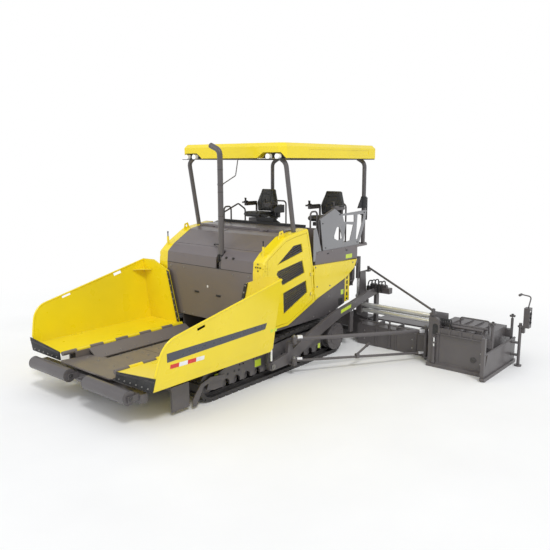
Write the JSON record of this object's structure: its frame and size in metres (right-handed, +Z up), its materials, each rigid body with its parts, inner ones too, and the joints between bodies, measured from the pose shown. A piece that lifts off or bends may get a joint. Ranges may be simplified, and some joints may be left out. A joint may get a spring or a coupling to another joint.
{
  "type": "asphalt paver",
  "caption": "Tracked asphalt paver with folding hopper, operator canopy, augers and a wide extended screed.",
  "frame": {"origin": "centre of the bounding box on the ground", "axes": "+X travel direction, +Y left side, +Z up"},
  "size_m": [6.6429, 8.7, 3.83],
  "materials": {
    "bare_steel": "brushed",
    "black_plastic": "matte",
    "black_vinyl": "matte",
    "brown_grey": "satin",
    "charcoal": "satin",
    "chrome": "polished",
    "dark_steel": "matte",
    "lamp_glass": "clear",
    "lemon_yellow": "gloss",
    "light_grey": "satin",
    "rubber": "matte",
    "vent_grey": "matte",
    "warm_grey": "satin"
  },
  "bodies": {
    "tractor": {"body_frame": "charcoal", "canopy_posts": "charcoal", "canopy_roof": "lemon_yellow", "chassis": "charcoal", "console": "black_plastic", "conveyor": "bare_steel", "engine_block": "charcoal", "exhaust_stack": "dark_steel", "front_apron": "brown_grey", "front_wall": "warm_grey", "handrails": "charcoal", "hood_nose": "warm_grey", "hopper_floor": "brown_grey", "lamps": "lamp_glass", "levelling_cylinders": "charcoal", "lift_cylinders": "charcoal", "lower_panels": "charcoal", "platform": "warm_grey", "seat_left": "black_vinyl", "seat_pedestals": "charcoal", "seat_right": "black_vinyl", "side_arches": "lemon_yellow", "side_guards": "light_grey", "side_panels": "lemon_yellow", "track_frames": "charcoal", "track_guards": "charcoal", "track_left": "dark_steel", "track_right": "dark_steel", "track_wheels": "charcoal"},
    "push_beam": {"push_beam": "charcoal"},
    "push_roller_left": {"push_roller_left": "charcoal"},
    "push_roller_right": {"push_roller_right": "charcoal"},
    "hopper_wing_left": {"hopper_wing_left": "lemon_yellow", "wing_flap_left": "rubber"},
    "hopper_wing_right": {"hopper_wing_right": "lemon_yellow", "wing_flap_right": "rubber"},
    "hood": {"hood": "warm_grey"},
    "side_door_left": {"side_door_left": "lemon_yellow", "door_grilles_left": "vent_grey"},
    "side_door_right": {"side_door_right": "lemon_yellow", "door_grilles_right": "vent_grey"},
    "auger_frame": {"auger_frame": "charcoal"},
    "auger_left": {"auger_left": "dark_steel"},
    "auger_right": {"auger_right": "dark_steel"},
    "screed": {"screed_main": "charcoal", "tow_arms": "charcoal"},
    "extension_left": {"extension_left": "charcoal", "end_plate_left": "charcoal", "guide_tubes_left": "chrome", "control_box_left": "charcoal"},
    "extension_right": {"extension_right": "charcoal", "end_plate_right": "charcoal", "guide_tubes_right": "chrome", "control_box_right": "charcoal"},
    "stay_left": {"stay_left": "charcoal"},
    "stay_right": {"stay_right": "charcoal"},
    "brace_left": {"brace_left": "charcoal"},
    "brace_right": {"brace_right": "charcoal"},
    "lift_rod_left": {"lift_rod_left": "chrome"},
    "lift_rod_right": {"lift_rod_right": "chrome"}
  },
  "joints": [
    {"name": "wing_fold_left", "type": "hinge", "parent": "tractor", "child": "hopper_wing_left", "pos_m": [0.6565, 0.657, 0.65], "axis": [1, 0, 0], "range_deg": [0, 55]},
    {"name": "side_door_left", "type": "hinge", "parent": "tractor", "child": "side_door_left", "pos_m": [-0.7435, 1.273, 1.5], "axis": [0, 0, 1], "range_deg": [0, 100]},
    {"name": "push_roller_left", "type": "hinge", "parent": "push_beam", "child": "push_roller_left", "pos_m": [3.2235, 0, 0.448], "axis": [0, 1, 0], "continuous": true},
    {"name": "auger_left", "type": "hinge", "parent": "auger_frame", "child": "auger_left", "pos_m": [-1.9485, 0, 0.35], "axis": [0, 1, 0], "continuous": true},
    {"name": "extension_left", "type": "slide", "parent": "screed", "child": "extension_left", "axis": [0, -1, 0], "range_m": [0, 1.2]},
    {"name": "wing_fold_right", "type": "hinge", "parent": "tractor", "child": "hopper_wing_right", "pos_m": [0.6565, -0.657, 0.65], "axis": [-1, 0, 0], "range_deg": [0, 55]},
    {"name": "side_door_right", "type": "hinge", "parent": "tractor", "child": "side_door_right", "pos_m": [-0.7435, -1.273, 1.5], "axis": [0, 0, -1], "range_deg": [0, 100]},
    {"name": "push_roller_right", "type": "hinge", "parent": "push_beam", "child": "push_roller_right", "pos_m": [3.2235, 0, 0.448], "axis": [0, 1, 0], "continuous": true},
    {"name": "auger_right", "type": "hinge", "parent": "auger_frame", "child": "auger_right", "pos_m": [-1.9485, 0, 0.35], "axis": [0, 1, 0], "continuous": true},
    {"name": "extension_right", "type": "slide", "parent": "screed", "child": "extension_right", "axis": [0, 1, 0], "range_m": [0, 1.2]},
    {"name": "hood", "type": "hinge", "parent": "tractor", "child": "hood", "pos_m": [-0.1935, 0, 2.35], "axis": [0, -1, 0], "range_deg": [0, 45]},
    {"name": "push_beam_swing", "type": "hinge", "parent": "tractor", "child": "push_beam", "pos_m": [2.8915, 0, 0.465], "axis": [0, 0, 1], "range_deg": [-4, 4]},
    {"name": "auger_lift", "type": "slide", "parent": "tractor", "child": "auger_frame", "axis": [0, 0, 1], "range_m": [0, 0.15]},
    {"name": "screed_lift", "type": "hinge", "parent": "tractor", "child": "screed", "pos_m": [0.5715, 0, 0.25], "axis": [0, 1, 0], "range_deg": [0, 6]},
    {"name": "brace_left", "type": "hinge", "parent": "extension_left", "child": "brace_left", "pos_m": [-2.0885, 2.78, 0.4], "axis": [0, 0, 1], "range_deg": [0, 28.6]},
    {"name": "stay_left", "type": "hinge", "parent": "extension_left", "child": "stay_left", "pos_m": [-1.8885, 3, 0.97], "axis": [0, 0, -1], "range_deg": [0, 82.2]},
    {"name": "lift_rod_left", "type": "slide", "parent": "tractor", "child": "lift_rod_left", "axis": [0, 0, 1], "range_m": [0, 0.3099]},
    {"name": "brace_right", "type": "hinge", "parent": "extension_right", "child": "brace_right", "pos_m": [-2.0885, -2.78, 0.4], "axis": [0, 0, -1], "range_deg": [0, 28.6]},
    {"name": "stay_right", "type": "hinge", "parent": "extension_right", "child": "stay_right", "pos_m": [-1.8885, -3, 0.97], "axis": [0, 0, 1], "range_deg": [0, 82.2]},
    {"name": "lift_rod_right", "type": "slide", "parent": "tractor", "child": "lift_rod_right", "axis": [0, 0, 1], "range_m": [0, 0.3099]}
  ],
  "couplings": [
    {"joint": "brace_left", "follows": "extension_left", "rad_per_m": 0.413},
    {"joint": "stay_left", "follows": "extension_left", "rad_per_m": 1.19},
    {"joint": "lift_rod_left", "follows": "screed_lift", "m_per_rad": 2.9405},
    {"joint": "brace_right", "follows": "extension_right", "rad_per_m": 0.413},
    {"joint": "stay_right", "follows": "extension_right", "rad_per_m": 1.19},
    {"joint": "lift_rod_right", "follows": "screed_lift", "m_per_rad": 2.9405}
  ]
}
